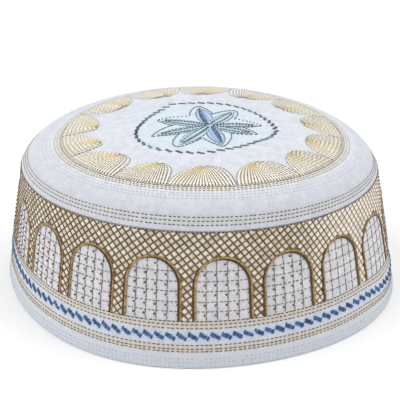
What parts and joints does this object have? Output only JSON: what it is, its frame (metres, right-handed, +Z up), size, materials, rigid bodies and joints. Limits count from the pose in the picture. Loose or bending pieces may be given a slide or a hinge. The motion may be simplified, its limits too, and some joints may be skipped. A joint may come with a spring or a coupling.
{
  "type": "kufi",
  "caption": "Round kufi cap with a stiff, slightly flared side band and a flat domed crown sewn to it, open below for the head.",
  "frame": {"origin": "middle of the lower rim, on the surface that the cap stands on", "axes": "+Z up through the crown, the front of the cap faces -Y, +X to the right seen from the front"},
  "size_m": [0.1897, 0.1897, 0.0722],
  "materials": {
    "band_cloth": "white quilted cotton, matt",
    "crown_cloth": "white quilted cotton, matt",
    "gold_thread": "gold embroidery thread, silky",
    "blue_thread": "blue embroidery thread, silky",
    "tan_thread": "brown-grey sewing thread, matt"
  },
  "bodies": {
    "root": {"side_band": "band_cloth", "crown": "crown_cloth"}
  },
  "joints": []
}
